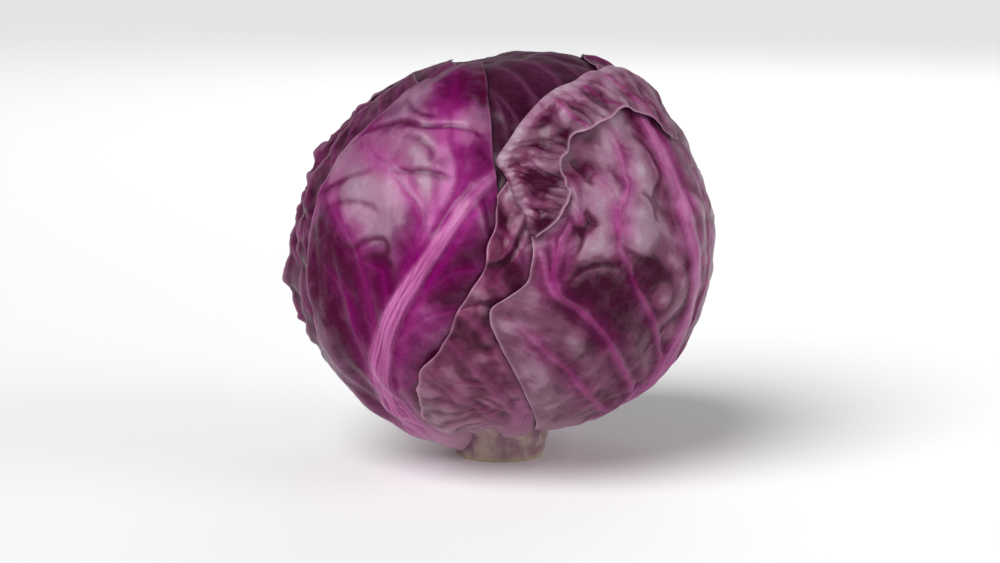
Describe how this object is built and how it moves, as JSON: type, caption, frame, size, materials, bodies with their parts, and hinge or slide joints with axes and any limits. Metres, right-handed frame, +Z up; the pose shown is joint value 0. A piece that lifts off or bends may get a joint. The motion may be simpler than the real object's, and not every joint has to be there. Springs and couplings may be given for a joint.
{
  "type": "red cabbage",
  "caption": "Whole round red cabbage head: purple leaves with raised ribs wrapped over a firm heart, standing on its short cut stem.",
  "frame": {"origin": "centre of the stem's flat cut face, which the head stands on", "axes": "+Z up through the head from the cut face, -Y to the front, +X to the right seen from the front"},
  "size_m": [0.1714, 0.1761, 0.1667],
  "materials": {
    "stem_flesh": "matt, pale cut fibres",
    "heart_leaf": "satin, tight inner leaf",
    "dark_leaf": "satin, deep purple leaf",
    "mauve_leaf": "satin, waxy mauve bloom over purple",
    "bright_leaf": "satin, bright magenta and mauve leaf with a pale midrib"
  },
  "bodies": {
    "root": {"cut_stem": "stem_flesh", "heart": "heart_leaf", "heart_leaf_1": "heart_leaf", "heart_leaf_2": "heart_leaf", "heart_leaf_3": "heart_leaf", "heart_leaf_4": "heart_leaf", "right_inner_leaf": "dark_leaf", "crown_leaf": "dark_leaf", "left_side_leaf": "mauve_leaf", "back_right_leaf": "mauve_leaf", "left_inner_leaf": "mauve_leaf", "front_inner_leaf": "mauve_leaf", "front_left_leaf": "bright_leaf", "back_leaf": "mauve_leaf", "front_middle_leaf": "dark_leaf", "front_right_leaf": "mauve_leaf"}
  },
  "joints": []
}
